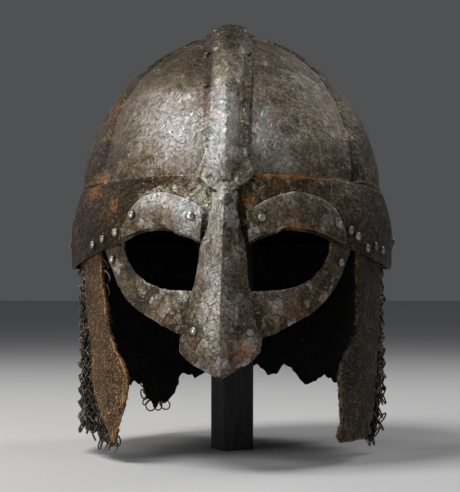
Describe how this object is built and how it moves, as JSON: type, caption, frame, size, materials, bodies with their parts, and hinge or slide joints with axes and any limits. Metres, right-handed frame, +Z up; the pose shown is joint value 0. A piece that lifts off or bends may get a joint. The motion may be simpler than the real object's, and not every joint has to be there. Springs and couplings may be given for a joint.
{
  "type": "norse iron helmet on a display post",
  "caption": "Domed iron helmet with crest, brow band, spectacle eye rims, long nose guard, leather cheek flaps and a torn mail curtain, on a square wooden post.",
  "frame": {"origin": "middle of the post's foot, on the surface that it stands on", "axes": "+Z up, -Y the way the face looks, +X to the right as seen from the front; left and right in names are as seen from the front"},
  "size_m": [0.2213, 0.2553, 0.2885],
  "materials": {
    "band_rivet_left_1": "rough brown and black rust",
    "band_rivet_left_2": "rough brown and black rust",
    "band_rivet_left_3": "rough brown and black rust",
    "band_rivet_rear_left": "rough brown and black rust",
    "band_rivet_rear_right": "rough brown and black rust",
    "band_rivet_right_1": "rough brown and black rust",
    "band_rivet_right_2": "rough brown and black rust",
    "band_rivet_right_3": "rough brown and black rust",
    "band_rivet_right_4": "rough brown and black rust",
    "band_rivet_right_5": "rough brown and black rust",
    "bowl_front_left": "dark rusted iron, pitted",
    "bowl_front_right": "dark rusted iron, pitted",
    "bowl_rear_left": "dark rusted iron, pitted",
    "bowl_rear_right": "dark rusted iron, pitted",
    "brow_band": "rough brown and black rust",
    "cheek_flap_left": "old fibrous leather",
    "cheek_flap_right": "old fibrous leather",
    "crest_band": "worn bright iron with brown rust",
    "crest_rivet_left_1": "worn bright iron with brown rust",
    "crest_rivet_left_2": "worn bright iron with brown rust",
    "crest_rivet_left_3": "worn bright iron with brown rust",
    "crest_rivet_right_1": "worn bright iron with brown rust",
    "crest_rivet_right_2": "worn bright iron with brown rust",
    "crest_rivet_right_3": "worn bright iron with brown rust",
    "crest_terminal": "worn bright iron with brown rust",
    "ear_rivet_left": "dark iron",
    "ear_rivet_right": "dark iron",
    "eye_rim_left": "worn grey iron with tan rust",
    "eye_rim_right": "worn grey iron with tan rust",
    "eyebrow_left": "worn grey iron",
    "eyebrow_right": "worn grey iron",
    "eyebrow_rivet_left_inner": "worn grey iron",
    "eyebrow_rivet_left_outer": "worn grey iron",
    "eyebrow_rivet_right_inner": "worn grey iron",
    "eyebrow_rivet_right_outer": "worn grey iron",
    "mail_curtain": "dark rusted rings",
    "nasal": "worn grey iron with tan rust",
    "nasal_rivet_left": "worn grey iron with tan rust",
    "nasal_rivet_right": "worn grey iron with tan rust",
    "rim_rivet_left": "dark iron",
    "rim_rivet_right": "dark iron",
    "side_gore_left": "dark rusted iron, pitted",
    "side_gore_right": "dark rusted iron, pitted",
    "stand_post": "dark weathered wood",
    "terminal_rivet_left": "dark iron",
    "terminal_rivet_right": "dark iron"
  },
  "bodies": {
    "root": {"band_rivet_left_1": "band_rivet_left_1", "band_rivet_left_2": "band_rivet_left_2", "band_rivet_left_3": "band_rivet_left_3", "band_rivet_rear_left": "band_rivet_rear_left", "band_rivet_rear_right": "band_rivet_rear_right", "band_rivet_right_1": "band_rivet_right_1", "band_rivet_right_2": "band_rivet_right_2", "band_rivet_right_3": "band_rivet_right_3", "band_rivet_right_4": "band_rivet_right_4", "band_rivet_right_5": "band_rivet_right_5", "bowl_front_left": "bowl_front_left", "bowl_front_right": "bowl_front_right", "bowl_rear_left": "bowl_rear_left", "bowl_rear_right": "bowl_rear_right", "brow_band": "brow_band", "cheek_flap_left": "cheek_flap_left", "cheek_flap_right": "cheek_flap_right", "crest_band": "crest_band", "crest_rivet_left_1": "crest_rivet_left_1", "crest_rivet_left_2": "crest_rivet_left_2", "crest_rivet_left_3": "crest_rivet_left_3", "crest_rivet_right_1": "crest_rivet_right_1", "crest_rivet_right_2": "crest_rivet_right_2", "crest_rivet_right_3": "crest_rivet_right_3", "crest_terminal": "crest_terminal", "ear_rivet_left": "ear_rivet_left", "ear_rivet_right": "ear_rivet_right", "eye_rim_left": "eye_rim_left", "eye_rim_right": "eye_rim_right", "eyebrow_left": "eyebrow_left", "eyebrow_right": "eyebrow_right", "eyebrow_rivet_left_inner": "eyebrow_rivet_left_inner", "eyebrow_rivet_left_outer": "eyebrow_rivet_left_outer", "eyebrow_rivet_right_inner": "eyebrow_rivet_right_inner", "eyebrow_rivet_right_outer": "eyebrow_rivet_right_outer", "mail_curtain": "mail_curtain", "nasal": "nasal", "nasal_rivet_left": "nasal_rivet_left", "nasal_rivet_right": "nasal_rivet_right", "rim_rivet_left": "rim_rivet_left", "rim_rivet_right": "rim_rivet_right", "side_gore_left": "side_gore_left", "side_gore_right": "side_gore_right", "stand_post": "stand_post", "terminal_rivet_left": "terminal_rivet_left", "terminal_rivet_right": "terminal_rivet_right"}
  },
  "joints": []
}
